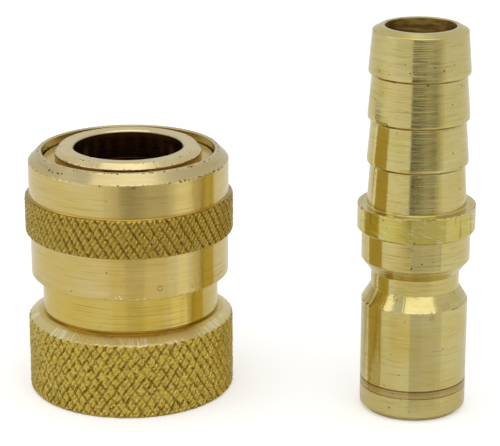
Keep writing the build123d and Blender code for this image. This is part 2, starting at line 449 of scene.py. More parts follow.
def build_sleeve():
    corners = [
        (SKIRT_BORE_R, SLEEVE_BOTTOM, 0.15),
        (SLEEVE_LOWER_R, SLEEVE_BOTTOM, 0.22),
        (SLEEVE_LOWER_R, BAND_BOTTOM, 0.06),
        (BAND_R - BAND_CHAMFER, BAND_BOTTOM, 0.03, 0.12),
        (BAND_R, BAND_BOTTOM + BAND_CHAMFER, 0.08, 0.125),
        (BAND_R, BAND_TOP - BAND_CHAMFER, 0.08, 0.12),
        (BAND_R - BAND_CHAMFER, BAND_TOP, 0.03),
        (SLEEVE_UPPER_R, BAND_TOP, 0.12),
        (SLEEVE_UPPER_R, SLEEVE_RIM_Z, 0.10),
        (SLEEVE_RIM_R, SLEEVE_TOP, 0.10),
        (COUNTERBORE_R, SLEEVE_TOP, 0.10),
        (COUNTERBORE_R, LEDGE_Z, 0.10),
        (LEDGE_R, LEDGE_Z, 0.10),
        (LAND_R, LAND_TOP, 0.15),
        (LAND_R, SPRING_SEAT_Z, 0.10),
        (SKIRT_BORE_R, SPRING_SEAT_Z, 0.20),
    ]
    random = np.random.RandomState(5)
    dents = ring_dents(random, 20, SLEEVE_UPPER_R, SLEEVE_RIM_Z, 0.16, 0.07)
    dents += ring_dents(random, 16, SLEEVE_RIM_R, SLEEVE_TOP, 0.14, 0.05)
    dents += ring_dents(random, 12, SLEEVE_LOWER_R, SLEEVE_BOTTOM, 0.18, 0.06)
    return turned_object("sleeve_turned", corners, SLEEVE_SEGMENTS, SOCKET_AXIS, sleeve_knurl, dents)


def ball_angles():
    return [math.radians(BALL_FIRST_DEG) + k * TURN / BALL_COUNT for k in range(BALL_COUNT)]


def ball_hole_cutter(angle):
    """A drill with a round end, lying along one ball's radius."""
    swing = np.linspace(-math.pi / 2, 0, 13)[1:]
    along = list(BALL_CENTRE_R + BALL_SEAT_R * np.sin(swing)) + [BALL_CENTRE_R + 0.01, TUBE_R + 1.5]
    across = list(BALL_SEAT_R * np.cos(swing)) + [BALL_HOLE_R, BALL_HOLE_R]
    spin = np.arange(DRILL_SIDES) * TURN / DRILL_SIDES
    out = np.repeat(np.array(along)[:, None], DRILL_SIDES, 1)
    wide = np.array(across)[:, None]
    side = wide * np.cos(spin)
    c, s = math.cos(angle), math.sin(angle)
    points = np.stack([out * c - side * s, out * s + side * c, BALL_Z + wide * np.sin(spin)], -1)
    quads = grid_faces(len(along), DRILL_SIDES, False, close_rows=False)
    return make_object("cutter", points, quads, end_caps(len(along), DRILL_SIDES))


def cut_with(piece, cutters):
    """The piece's mesh with each cutter's mesh taken away."""
    for cutter in cutters:
        modifier = piece.modifiers.new("cut", "BOOLEAN")
        modifier.operation = "DIFFERENCE"
        modifier.solver = "EXACT"
        modifier.object = cutter
    bpy.context.view_layer.update()
    evaluated = piece.evaluated_get(bpy.context.evaluated_depsgraph_get())
    result = bpy.data.meshes.new_from_object(evaluated)
    piece.modifiers.clear()
    piece.data = result
    for cutter in cutters:
        bpy.data.objects.remove(cutter)


def build_body():
    ring_low = RING_Z - RING_GROOVE_GAP
    ring_high = RING_Z + RING_THICK + RING_GROOVE_GAP
    seal_low, seal_high = SEAL_Z - SEAL_GROOVE_HALF, SEAL_Z + SEAL_GROOVE_HALF
    corners = [
        (WATERWAY_R, CAVITY_TOP, 0.15),
        (SPIGOT_R, CAVITY_TOP, 0.10),
        (SPIGOT_R, BASE_TOP, 0.05),
        (NECK_R - NECK_FOOT, BASE_TOP, 0.05),
        (NECK_R, BASE_TOP + NECK_FOOT, 0.08),
        (NECK_R, NECK_TOP, 0.15),
        (TUBE_R, NECK_TOP, 0.15),
        (TUBE_R, ring_low, 0.05),
        (RING_GROOVE_R, ring_low, 0.05),
        (RING_GROOVE_R, ring_high, 0.05),
        (TUBE_R, ring_high, 0.05),
        (TUBE_R, TUBE_SHOULDER_Z, 0.12),
        (TUBE_LIP_R, TUBE_TOP, 0.12),
        (MOUTH_R + MOUTH_CHAMFER, TUBE_TOP, 0.06),
        (MOUTH_R, TUBE_TOP - MOUTH_CHAMFER, 0.06),
        (MOUTH_R, MOUTH_Z, 0.05),
        (BORE_R, MOUTH_Z, 0.03),
        (BORE_R, seal_high, 0.08),
        (SEAL_GROOVE_R, seal_high, 0.12),
        (SEAL_GROOVE_R, seal_low, 0.12),
        (BORE_R, seal_low, 0.08),
        (BORE_R, STOP_Z, 0.10),
        (WATERWAY_R, STOP_Z, 0.15),
    ]
    random = np.random.RandomState(23)
    dents = ring_dents(random, 22, TUBE_R - 0.1, TUBE_TOP - 0.7, 0.18, 0.07)
    dents += ring_dents(random, 12, MOUTH_R + 0.3, TUBE_TOP, 0.12, 0.04)
    body = turned_object("body_turned", corners, BODY_SEGMENTS, SOCKET_AXIS, None, dents)
    cut_with(body, [ball_hole_cutter(angle) for angle in ball_angles()])
    body.data.set_sharp_from_angle(angle=math.radians(35))
    return body


def build_washer():
    """Flat washer whose lower face is a little crowned."""
    middle = (WASHER_INNER_R + WASHER_OUTER_R) / 2
    low, high = LIP_TOP + WASHER_CROWN, CAVITY_TOP - RUBBER_GAP
    corners = [
        (WASHER_INNER_R, low, 0.35),
        (middle, LIP_TOP, 1.5),
        (WASHER_OUTER_R, low, 0.35),
        (WASHER_OUTER_R, high, 0.35),
        (middle, high, 0.0),
        (WASHER_INNER_R, high, 0.35),
    ]
    return turned_object("washer_moulded", corners, RUBBER_SEGMENTS, SOCKET_AXIS)


def build_seal():
    """O-ring with the faint flash line that its mould leaves round it."""
    swing = np.arange(SEAL_SIDES) * TURN / SEAL_SIDES
    flash = 1 + FLASH_PROUD * np.exp(-((np.sin(swing) / FLASH_WIDTH) ** 2))
    section = (SEAL_SECTION_R - RUBBER_GAP) * flash
    r = SEAL_CENTRE_R + section * np.cos(swing)
    z = SEAL_Z + section * np.sin(swing)
    angle = np.arange(RUBBER_SEGMENTS) * TURN / RUBBER_SEGMENTS
    points = about_z(r[:, None], z[:, None], angle)
    return make_object("seal_moulded", points, grid_faces(SEAL_SIDES, RUBBER_SEGMENTS, True))


def build_ring():
    """Stamped retaining ring, open at the front."""
    corners = [
        (RING_INNER_R, RING_Z, 0.15),
        (RING_OUTER_R, RING_Z, 0.10),
        (RING_OUTER_R, RING_Z + RING_THICK, 0.15),
        (RING_INNER_R, RING_Z + RING_THICK, 0.10),
    ]
    rows = rounded(corners)
    half_gap = math.radians(RING_GAP_DEG / 2)
    angle = np.linspace(-math.pi / 2 + half_gap, -math.pi / 2 + TURN - half_gap, RING_COLUMNS)
    points = about_z(rows[:, :1], rows[:, 1:], angle)
    quads = grid_faces(len(rows), RING_COLUMNS, True, close_columns=False)
    first = [i * RING_COLUMNS for i in range(len(rows))]
    last = [i * RING_COLUMNS + RING_COLUMNS - 1 for i in range(len(rows))][::-1]
    ring = make_object("ring_stamped", points, quads, [first, last])
    ring.data.set_sharp_from_angle(angle=math.radians(40))
    return ring


def spring_wire_z(turn):
    """Height of the spring wire's centre: closed ends, open middle."""
    low, high = NECK_TOP + WIRE_R, SPRING_SEAT_Z - WIRE_R
    closed_rise = 2 * WIRE_R * SPRING_CLOSED
    open_turns = SPRING_TURNS - 2 * SPRING_CLOSED
    share = np.clip((turn - SPRING_CLOSED) / open_turns, 0, 1)
    closed = np.minimum(turn, SPRING_CLOSED) + np.maximum(turn - SPRING_CLOSED - open_turns, 0)
    return low + 2 * WIRE_R * closed + (high - low - 2 * closed_rise) * share


def build_spring():
    """Coiled round wire with its closed ends ground flat."""
    rows = round(SPRING_TURNS * WIRE_STEPS_PER_TURN) + 1
    turn = np.linspace(0, SPRING_TURNS, rows)[:, None]
    around = np.arange(WIRE_SIDES)[None, :] * TURN / WIRE_SIDES
    z = spring_wire_z(turn) + WIRE_R * np.sin(around)
    z = np.clip(z, NECK_TOP + GROUND_OFF, SPRING_SEAT_Z - GROUND_OFF)
    points = about_z(SPRING_R + WIRE_R * np.cos(around), z, turn * TURN)
    quads = grid_faces(rows, WIRE_SIDES, True, close_rows=False)
    return make_object("spring_coiled", points, quads, end_caps(rows, WIRE_SIDES))


def build_ball(number, angle):
    """Ground steel ball: a subdivided icosahedron pushed out to the exact radius."""
    mesh = bpy.data.meshes.new(f"ball_ground_{number}")
    shape = bmesh.new()
    bmesh.ops.create_icosphere(shape, subdivisions=BALL_SUBDIVISIONS, radius=BALL_R * MM)
    centre = Vector((BALL_CENTRE_R * math.cos(angle), BALL_CENTRE_R * math.sin(angle), BALL_Z)) * MM
    bmesh.ops.translate(shape, verts=shape.verts, vec=centre)
    shape.to_mesh(mesh)
    shape.free()
    return smooth_piece(mesh)


def barb_corners():
    corners = [(BARB_START_R, COLLAR_TOP, 0.12)]
    for peak in BARB_PEAKS_Z:
        corners += [
            (BARB_ROOT_R, peak - BARB_BACK, 0.10),
            (BARB_R, peak, 0.07),
            (BARB_R, peak + BARB_LAND, 0.6),
        ]
    return corners + [(BARB_ROOT_R, TIP_Z, 0.12), (TIP_R, PLUG_TOP, 0.10)]


def build_plug():
    corners = [
        (PLUG_BORE_R, 0, 0.15),
        (NOSE_R - NOSE_CHAMFER, 0, 0.25),
        (NOSE_R, NOSE_CHAMFER, 0.35),
    ]
    for z in NOSE_LINES_Z:
        corners += [
            (NOSE_R, z - NOSE_LINE_HALF, 0.02),
            (NOSE_R - NOSE_LINE_DEEP, z, 0.02),
            (NOSE_R, z + NOSE_LINE_HALF, 0.02),
        ]
    corners += [
        (NOSE_R, NOSE_TOP, 0.12),
        (GROOVE_R, GROOVE_BOTTOM, 0.20),
        (GROOVE_R, GROOVE_TOP, 0.20),
        (SHOULDER_R, SHOULDER_BOTTOM, 0.25),
        (SHOULDER_R, COLLAR_BOTTOM, 0.05),
        (COLLAR_R - COLLAR_CHAMFER, COLLAR_BOTTOM, 0.08),
        (COLLAR_R, COLLAR_BOTTOM + COLLAR_CHAMFER, 0.10),
        (COLLAR_R, COLLAR_TOP, 0.08),
    ]
    corners += barb_corners()
    corners.append((PLUG_BORE_R, PLUG_TOP, 0.12))
    random = np.random.RandomState(37)
    dents = ring_dents(random, 18, NOSE_R, NOSE_TOP, 0.15, 0.05)
    dents += ring_dents(random, 10, COLLAR_R, COLLAR_TOP, 0.15, 0.05)
    for peak in BARB_PEAKS_Z:
        dents += ring_dents(random, 8, BARB_R, peak, 0.14, 0.05)
    return turned_object("plug_turned", corners, PLUG_SEGMENTS, PLUG_AXIS, None, dents)


# ========== Materials


def rgb(red, green, blue):
    return (red, green, blue, 1.0)


BUMP_HEIGHT = 0.0000040  # metres that a height of 1 stands for
ANISOTROPY = 0.6
ACROSS_TURNING = 0.25  # of a turn: reflections are drawn out along the axis
BRASS_DARK = rgb(0.115, 0.060, 0.008)
BRASS_PALE = rgb(0.84, 0.74, 0.50)
# Painted glints.
PAINTED_GLINT = rgb(0.98, 0.92, 0.68)
BROWN = rgb(0.23, 0.115, 0.027)
# Painted shade inside bores.
BORE_PAINTED_SHADE = rgb(0.090, 0.036, 0.010)
# Painted glints on knurl grit.
KNURL_PAINTED_GLINT = rgb(0.88, 0.72, 0.26)
SLEEVE_KNURL_COLOUR = rgb(0.50, 0.355, 0.058)
BASE_KNURL_COLOUR = rgb(0.66, 0.49, 0.078)
RIM_COLOUR = rgb(0.58, 0.50, 0.31)
# Warm colour of a neighbouring brass face, painted on as its reflection.
PAINTED_BRASS_REFLECTION = rgb(0.55, 0.33, 0.03)
CONE_COLOUR = rgb(0.86, 0.76, 0.40)
BODY_COLOUR = rgb(0.66, 0.506, 0.132)
BODY_WARM = rgb(0.635, 0.452, 0.088)
SLEEVE_COLOUR = rgb(0.66, 0.52, 0.202)
SLEEVE_WARM = rgb(0.64, 0.48, 0.135)
PLUG_COLOUR = rgb(0.655, 0.56, 0.235)
PLUG_WARM = rgb(0.62, 0.50, 0.155)
PLUG_BORE_COLOUR = rgb(0.62, 0.44, 0.13)
PLUG_BORE_RING_COLOUR = rgb(0.33, 0.22, 0.06)
COLLAR_COLOUR = rgb(0.62, 0.526, 0.121)
RUBBER_BLOOM = rgb(0.10, 0.10, 0.095)


class Shader:
    """A material's node tree, with short ways to add to it."""

    def __init__(self, name):
        self.material = bpy.data.materials.new(name)
        self.material.use_nodes = True
        self.tree = self.material.node_tree
        self.surface = self.tree.nodes["Principled BSDF"]

    def put(self, socket, value):
        if isinstance(value, bpy.types.NodeSocket):
            self.tree.links.new(value, socket)
        else:
            socket.default_value = value

    def set(self, **values):
        """Sets the surface's inputs; an underscore in a name stands for a space."""
        for name, value in values.items():
            self.put(self.surface.inputs[name.replace("_", " ")], value)

    def node(self, kind, inputs=(), **settings):
        node = self.tree.nodes.new(kind)
        for name, value in settings.items():
            setattr(node, name, value)
        for key, value in dict(inputs).items():
            self.put(node.inputs[key], value)
        return node

    def maths(self, operation, *values):
        return self.node("ShaderNodeMath", enumerate(values), operation=operation).outputs[0]

    def times(self, first, second):
        return self.maths("MULTIPLY", first, second)

    def vector(self, x, y, z):
        return self.node("ShaderNodeCombineXYZ", {"X": x, "Y": y, "Z": z}).outputs[0]

    def own_place(self):
        """Coordinates on the piece itself, in metres, which move with it."""
        return self.node("ShaderNodeTexCoord").outputs["Object"]

    def noise(self, vector, scale, detail=2.0, roughness=0.5):
        inputs = {"Vector": vector, "Scale": scale, "Detail": detail, "Roughness": roughness}
        return self.node("ShaderNodeTexNoise", inputs).outputs[0]

    def span(self, value, low, high, to_low=0.0, to_high=1.0):
        """Value's range from low to high, stretched to the other range and held at its ends."""
        inputs = {"Value": value, "From Min": low, "From Max": high, "To Min": to_low, "To Max": to_high}
        return self.node("ShaderNodeMapRange", inputs, clamp=True).outputs[0]

    def blend(self, share, first, second):
        inputs = {0: share, 6: first, 7: second}
        return self.node("ShaderNodeMix", inputs, data_type="RGBA").outputs[2]

    def bump(self, height, strength, distance):
        inputs = {"Height": height, "Strength": strength, "Distance": distance}
        return self.node("ShaderNodeBump", inputs).outputs[0]


class Brass(Shader):
    """Turned brass. Each method adds one kind of mark to its shade, roughness and height."""

    def __init__(self, name, axis, colour, warm, rough):
        super().__init__(name)
        split = self.node("ShaderNodeSeparateXYZ", {0: self.own_place()})
        self.x = self.maths("MULTIPLY_ADD", split.outputs[0], 1 / MM, -axis[0])
        self.y = self.maths("MULTIPLY_ADD", split.outputs[1], 1 / MM, -axis[1])
        self.z = self.times(split.outputs[2], 1 / MM)
        self.radius = self.length(self.x, self.y)
        self.place = self.vector(self.x, self.y, self.z)
        # Share of dirt and painted shade in the knurl and thread grooves, from how deep they are cut.
        self.groove_dirt_and_shade = self.node("ShaderNodeAttribute", attribute_name="groove_dirt_and_shade").outputs["Fac"]
        cloud = self.noise(self.place, 0.16, 3.0, 0.55)
        mottle = self.noise(self.place, 1.1, 4.0, 0.65)
        tinted = self.blend(self.span(cloud, 0.40, 0.66, 0.0, 0.75), colour, warm)
        self.shade = self.blend(self.span(mottle, 0.58, 0.80, 0.0, 0.25), tinted, warm)
        self.roughness = self.span(mottle, 0.3, 0.7, rough - 0.02, rough + 0.03)
        self.height = self.times(mottle, 0.3)

    def length(self, first, second):
        squares = self.maths("MULTIPLY_ADD", second, second, self.times(first, first))
        return self.maths("SQRT", squares)

    def distance_to(self, place):
        ends = {0: self.place, 1: place}
        return self.node("ShaderNodeVectorMath", ends, operation="DISTANCE").outputs["Value"]

    def inside(self, radius):
        """1 within a bore of this radius, 0 outside it."""
        return self.span(self.radius, radius - 0.12, radius + 0.02, 1.0, 0.0)

    def paint(self, share, colour):
        self.shade = self.blend(share, self.shade, colour)

    def raise_by(self, share, amount):
        self.height = self.maths("MULTIPLY_ADD", share, amount, self.height)

    def roughen(self, share, amount):
        self.roughness = self.maths("MULTIPLY_ADD", share, amount, self.roughness)

    def round_vector(self, round_scale, along, along_scale):
        """Noise coordinates that turn with the angle about the axis, and advance with along."""
        return self.vector(
            self.times(self.maths("DIVIDE", self.x, self.radius), round_scale),
            self.times(self.maths("DIVIDE", self.y, self.radius), round_scale),
            self.times(along, along_scale),
        )

    def streaks(self, round_scale, along_scale, detail):
        """Noise drawn out round the axis, as a cutting tool leaves it."""
        along = self.maths("MULTIPLY_ADD", self.radius, 0.6, self.z)
        return self.noise(self.round_vector(round_scale, along, along_scale), 1.0, detail, 0.6)

    def tool_lines(self, deep, closeness):
        fine = self.streaks(1.7, 1.3 * closeness, 3.0)
        coarse = self.streaks(1.1, 0.35 * closeness, 2.0)
        self.paint(self.span(fine, 0.42, 0.24, 0.0, 0.45), BRASS_PALE)
        self.paint(self.span(fine, 0.57, 0.76, 0.0, 0.42), BRASS_DARK)
        self.roughen(self.span(fine, 0.3, 0.7), 0.07)
        self.raise_by(fine, deep)
        self.raise_by(coarse, 2.0 * deep)

    def grooves(self, colour, dirt_and_shade_from, dirt_and_shade, grit_glints_and_shade):
        """Knurled faces: torn, gritty metal. Their grooves are darkened with dirt and painted shade, and
        their grit has painted glints and dark specks of pits and painted shade.
        """
        knurled = self.span(self.groove_dirt_and_shade, 0.02, 0.20)
        self.paint(knurled, colour)
        # Grooves darkened with dirt and painted shade.
        self.paint(self.span(self.groove_dirt_and_shade, dirt_and_shade_from, 1.0, 0.0, dirt_and_shade), BRASS_DARK)
        self.roughen(self.groove_dirt_and_shade, 0.15)
        grain = self.noise(self.place, 3.6, 3.0, 0.7)
        # Painted glints and painted shade specks on the grit.
        gleam = self.span(grain, 0.55, 0.68, 0.0, 0.8 * grit_glints_and_shade)
        pits_and_painted_shade = self.span(grain, 0.44, 0.30, 0.0, 0.9 * grit_glints_and_shade)
        self.paint(self.times(knurled, gleam), KNURL_PAINTED_GLINT)
        self.paint(self.times(knurled, pits_and_painted_shade), BRASS_DARK)
        self.raise_by(self.times(knurled, grain), 15.0 * grit_glints_and_shade)

    def pits(self, share):
        cells = self.node("ShaderNodeTexVoronoi", {"Vector": self.place, "Scale": 0.75})
        pick = self.node("ShaderNodeSeparateXYZ", {0: cells.outputs["Color"]})
        chosen = self.maths("LESS_THAN", pick.outputs[0], share)
        size = self.maths("MULTIPLY_ADD", pick.outputs[1], 0.07, 0.045)
        pit = self.times(chosen, self.maths("LESS_THAN", cells.outputs["Distance"], size))
        self.paint(self.times(pit, 0.8), BRASS_DARK)
        self.raise_by(pit, -4.0)

    def edge_wear(self, edges):
        """Nicks and bright rubbed spots beside the (radius, height) edges."""
        nearest = 1000.0
        for edge_r, edge_z in edges:
            across = self.maths("SUBTRACT", self.radius, edge_r)
            up = self.maths("SUBTRACT", self.z, edge_z)
            nearest = self.maths("MINIMUM", nearest, self.length(across, up))
        beside = self.span(nearest, 0.0, 0.40, 1.0, 0.0)
        chips = self.noise(self.place, 1.9, 3.0, 0.65)
        region = self.noise(self.place, 0.22, 1.0)
        level = self.maths("MULTIPLY_ADD", region, 0.5, self.maths("MULTIPLY_ADD", beside, 0.26, chips))
        nick = self.span(level, 1.05, 1.11)
        gleam = self.times(beside, self.span(chips, 0.50, 0.36))
        self.paint(self.times(gleam, 0.6), BRASS_PALE)
        self.paint(self.times(nick, 0.8), BRASS_DARK)
        self.raise_by(nick, -7.0)

    def pale_above(self, height, colour):
        """Faces above a height, at the mouth, are painted paler and made duller."""
        above = self.span(self.z, height - 0.2, height + 0.1)
        self.paint(self.times(above, 0.5), colour)
        self.roughen(above, 0.08)

    def bore(self, radius, colour, rougher):
        """An inside painted a darker colour, which is painted shade, and roughened."""
        inside = self.inside(radius)
        self.paint(inside, colour)
        self.roughen(inside, rougher)

    def darker_bore_rings(self, radius, colour):
        """Darker rings inside a bore."""
        rings = self.noise(self.vector(self.x, self.y, self.times(self.z, 6.0)), 0.45, 2.0)
        self.paint(self.times(self.inside(radius), self.span(rings, 0.42, 0.60)), colour)

    def between(self, low, high, soft):
        above = self.span(self.z, low - soft, low + soft)
        below = self.span(self.z, high - soft, high + soft, 1.0, 0.0)
        return self.times(above, below)

    def band(self, low, high, soft, colour, share):
        """A ring of colour between two heights; calls use it for stains and for painted highlights,
        shade and reflections.
        """
        self.paint(self.times(self.between(low, high, soft), share), colour)

    def radial_lines(self, share, deep, colour):
        """Fine lines that fan out from the axis, some of them in another shade."""
        vector = self.round_vector(40.0, self.radius, 0.3)
        region = self.span(self.noise(self.place, 0.15, 1.0), 0.42, 0.58, 0.2, 1.0)
        lines = self.times(region, self.noise(vector, 1.0, 1.0))
        self.paint(self.times(share, self.span(lines, 0.46, 0.66, 0.0, 0.7)), colour)
        self.raise_by(self.times(share, lines), deep)

    def scratches(self, low, high, lean, closeness, level):
        """Pale scratches between two heights; lean is their slope."""
        across = self.times(self.maths("MULTIPLY_ADD", self.x, lean, self.z), closeness)
        along = self.times(self.maths("MULTIPLY_ADD", self.z, -lean, self.x), 0.25)
        scratch = self.span(self.noise(self.vector(across, along, 0.0), 1.0, 2.0), level, level + 0.05)
        scratch = self.times(scratch, self.between(low, high, 0.05))
        self.paint(self.times(scratch, 0.6), BRASS_PALE)
        self.raise_by(scratch, -2.0)

    def drawn_lines(self, low, high):
        """Upright lines left by the die that the bar was drawn through."""
        drawn_out = self.times(self.z, 0.1 / 1.3)
        lines = self.noise(self.vector(self.x, self.y, drawn_out), 1.3, 2.0)
        here = self.between(low, high, 0.05)
        self.paint(self.times(here, self.span(lines, 0.60, 0.66, 0.0, 0.45)), BROWN)

    def dot(self, place, size, colour, share):
        """A small round mark at a place on the surface."""
        self.paint(self.span(self.distance_to(place), 0.7 * size, size, share, 0.0), colour)

    def ring_mark(self, place, radius, width):
        """A small ring-shaped dent."""
        off = self.maths("ABSOLUTE", self.maths("SUBTRACT", self.distance_to(place), radius))
        ring = self.span(off, 0.3 * width, width, 1.0, 0.0)
        self.paint(self.times(ring, 0.45), BROWN)
        self.raise_by(ring, -5.0)

    def finish(self):
        bump = self.bump(self.height, 1.0, BUMP_HEIGHT)
        tangent = self.node("ShaderNodeTangent", direction_type="RADIAL", axis="Z").outputs[0]
        self.set(
            Base_Color=self.shade, Metallic=1.0, Roughness=self.roughness, Normal=bump,
            Anisotropic=ANISOTROPY, Anisotropic_Rotation=ACROSS_TURNING, Tangent=tangent,
        )
        return self.material


def in_front(angle_deg, radius, z):
    """A point on a part, about its own axis; angle 0 is straight in front, positive to the right."""
    angle = math.radians(angle_deg)
    return (radius * math.sin(angle), -radius * math.cos(angle), z)


# Deep nicks in the sleeve's upper chamfer: angle and radius.
RIM_NICKS = (
    (-50.5, 14.35), (-49.4, 14.30), (-46.5, 14.42),
    (-42.5, 14.33), (-41.4, 14.38), (-39.0, 14.30),
)
RIM_NICK_SIZE = 0.17
# Worn specks with painted glints on the sleeve's lower edge: angle, height above the edge and size.
EDGE_GLINTS = (
    (-3, 0.75, 0.16), (-5, 0.45, 0.12), (-2, 0.35, 0.18), (7, 0.2, 0.13), (11, 0.3, 0.17),
)
# Pits on the plug: angle, radius, height and size.
PLUG_DOTS = (
    (-8.4, SHOULDER_R, 24.0, 0.17), (-6, COLLAR_R, 28.1, 0.12), (-14.3, NOSE_R, 15.7, 0.11),
    (-35.8, NOSE_R, 5.3, 0.11), (28.7, NOSE_R, 11.3, 0.12), (-29.3, NOSE_R, 10.4, 0.10),
)


def body_brass():
    brass = Brass("brass_body", SOCKET_AXIS, BODY_COLOUR, BODY_WARM, 0.13)
    brass.tool_lines(1.0, 5.0)
    brass.pale_above(TUBE_SHOULDER_Z - 0.1, BRASS_PALE)
    brass.pits(0.2)
    brass.edge_wear(((TUBE_LIP_R, TUBE_TOP), (TUBE_R, TUBE_SHOULDER_Z), (MOUTH_R, TUBE_TOP)))
    foot_top = BASE_TOP + NECK_FOOT
    # A painted highlight ring on the neck's foot chamfer, and a painted shade line just above it.
    brass.band(BASE_TOP, foot_top, 0.04, BRASS_PALE, 0.8)
    brass.band(foot_top + 0.05, foot_top + 0.20, 0.05, BRASS_DARK, 0.8)
    # The bore is darkened with painted shade.
    brass.bore(MOUTH_R + 0.12, BORE_PAINTED_SHADE, 0.10)
    return brass.finish()


def sleeve_brass():
    brass = Brass("brass_sleeve", SOCKET_AXIS, SLEEVE_COLOUR, SLEEVE_WARM, 0.13)
    brass.tool_lines(1.3, 5.0)
    brass.pale_above(SLEEVE_RIM_Z + 0.1, RIM_COLOUR)
    brass.grooves(SLEEVE_KNURL_COLOUR, 0.28, 1.0, 0.55)
    brass.ring_mark(in_front(20, SLEEVE_LOWER_R, SLEEVE_BOTTOM + 1.7), 0.36, 0.14)
    # Painted glints on worn specks of the lower edge.
    for angle, height, size in EDGE_GLINTS:
        brass.dot(in_front(angle, SLEEVE_LOWER_R, SLEEVE_BOTTOM + height), size, PAINTED_GLINT, 0.7)
    brass.pits(0.2)
    rim, lip = (SLEEVE_UPPER_R, SLEEVE_RIM_Z), (SLEEVE_RIM_R, SLEEVE_TOP)
    brass.edge_wear((rim, lip, (SLEEVE_LOWER_R, SLEEVE_BOTTOM)))
    for angle, radius in RIM_NICKS:
        height = SLEEVE_TOP - (radius - SLEEVE_RIM_R)
        brass.dot(in_front(angle, radius, height), RIM_NICK_SIZE, BRASS_DARK, 0.95)
    # A painted reflection of the knurled band, warm orange, on the wall just above it.
    brass.band(BAND_TOP + 0.05, BAND_TOP + 0.35, 0.10, PAINTED_BRASS_REFLECTION, 0.75)
    # The inside of the land is darkened with painted shade.
    brass.bore(LAND_R + 0.15, BORE_PAINTED_SHADE, 0.10)
    return brass.finish()


def base_brass():
    brass = Brass("brass_base", SOCKET_AXIS, BODY_COLOUR, BODY_WARM, 0.18)
    brass.tool_lines(1.0, 5.0)
    brass.grooves(BASE_KNURL_COLOUR, 0.40, 0.88, 1.0)
    brass.pits(0.3)
    brass.edge_wear(((BASE_R - BASE_EDGE, 0.0), (BASE_R, BASE_EDGE)))
    above_grip = brass.span(brass.z, GRIP_TOP, GRIP_TOP + 0.3)
    off_joint = brass.span(brass.radius, BASE_TOP_R + 0.1, BASE_TOP_R + 0.4)
    on_cone = brass.times(above_grip, off_joint)
    brass.paint(brass.times(on_cone, 0.45), CONE_COLOUR)
    brass.roughen(on_cone, 0.08)
    # Painted glints in fine radial lines on the cone.
    brass.radial_lines(on_cone, 7.0, PAINTED_GLINT)
    # A painted reflection of the neck, warm orange, on the cone beside the joint.
    at_joint = brass.span(brass.radius, BASE_TOP_R + 0.2, BASE_TOP_R + 0.6, 0.7, 0.0)
    brass.paint(brass.times(on_cone, at_joint), PAINTED_BRASS_REFLECTION)
    return brass.finish()


def ring_brass():
    brass = Brass("brass_ring", SOCKET_AXIS, BODY_COLOUR, BODY_WARM, 0.24)
    brass.pits(0.2)
    brass.edge_wear(((RING_OUTER_R, RING_Z + RING_THICK),))
    return brass.finish()


def plug_brass():
    brass = Brass("brass_plug", PLUG_AXIS, PLUG_COLOUR, PLUG_WARM, 0.11)
    brass.band(COLLAR_BOTTOM, COLLAR_TOP - 0.1, 0.05, COLLAR_COLOUR, 0.9)
    brass.tool_lines(3.6, 4.0)
    brass.drawn_lines(COLLAR_BOTTOM, COLLAR_TOP - 0.1)
    brass.scratches(COLLAR_BOTTOM, COLLAR_TOP - 0.1, 0.45, 4.5, 0.60)
    # Painted shade on each barb's back slope, under its peak.
    for peak in BARB_PEAKS_Z:
        brass.band(peak - BARB_BACK, peak - 0.05, 0.05, BROWN, 0.8)
    brass.pits(0.6)
    brass.edge_wear(((COLLAR_R, COLLAR_TOP), (COLLAR_R, COLLAR_BOTTOM), (NOSE_R, NOSE_TOP)))
    low, high = NOSE_LINES_Z
    brass.band(low - 0.05, high + 0.05, 0.08, BROWN, 0.36)
    brass.band(high - 0.14, high + 0.12, 0.05, BROWN, 0.9)
    middle = 0.52 * (low + high)
    brass.band(middle - 0.04, middle + 0.04, 0.05, BROWN, 0.75)
    brass.band(low - 0.05, low + 0.05, 0.05, BROWN, 0.8)
    cone = brass.between(NOSE_TOP + 0.1, GROOVE_BOTTOM - 0.1, 0.05)
    brass.radial_lines(cone, 9.0, BROWN)
    for angle, radius, z, size in PLUG_DOTS:
        brass.dot(in_front(angle, radius, z), size, BRASS_DARK, 0.9)
    brass.ring_mark(in_front(-28, 6.65, 18.85), 0.32, 0.12)
    brass.ring_mark(in_front(14.8, NOSE_R, 16.3), 0.25, 0.12)
    # The plug's bore is painted a darker brown: painted shade.
    brass.bore(PLUG_BORE_R + 0.15, PLUG_BORE_COLOUR, 0.22)
    brass.darker_bore_rings(PLUG_BORE_R + 0.15, PLUG_BORE_RING_COLOUR)
    return brass.finish()


def plain_metal(name, colour, rough, scale):
    """Steel with fine uneven polish."""
    shader = Shader(name)
    cloud = shader.noise(shader.own_place(), scale, 4.0, 0.6)
    darker = rgb(*(0.72 * part for part in colour[:3]))
    shade = shader.blend(shader.span(cloud, 0.35, 0.7), colour, darker)
    roughness = shader.span(cloud, 0.3, 0.7, rough, rough * 2.2)
    bump = shader.bump(cloud, 0.4, BUMP_HEIGHT)
    shader.set(Base_Color=shade, Metallic=1.0, Roughness=roughness, Normal=bump)
    return shader.material


def rubber(name, colour):
    """Black moulded rubber with a dusty bloom."""
    shader = Shader(name)
    grain = shader.noise(shader.own_place(), 9000.0, 4.0, 0.65)
    bloom = shader.noise(shader.own_place(), 700.0, 3.0, 0.6)
    shade = shader.blend(shader.span(bloom, 0.45, 0.75, 0.0, 0.5), colour, RUBBER_BLOOM)
    roughness = shader.span(bloom, 0.3, 0.7, 0.45, 0.7)
    bump = shader.bump(grain, 0.6, 5 * BUMP_HEIGHT)
    shader.set(Base_Color=shade, Roughness=roughness, Normal=bump)
    return shader.material


def finish_piece(piece, material, body, node):
    """Puts a piece in the frame, in place of a node's CAD mesh."""
    piece.data.materials.clear()
    piece.data.materials.append(material)
    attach(piece, body)
    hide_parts(node)
    return piece


# ========== Studio


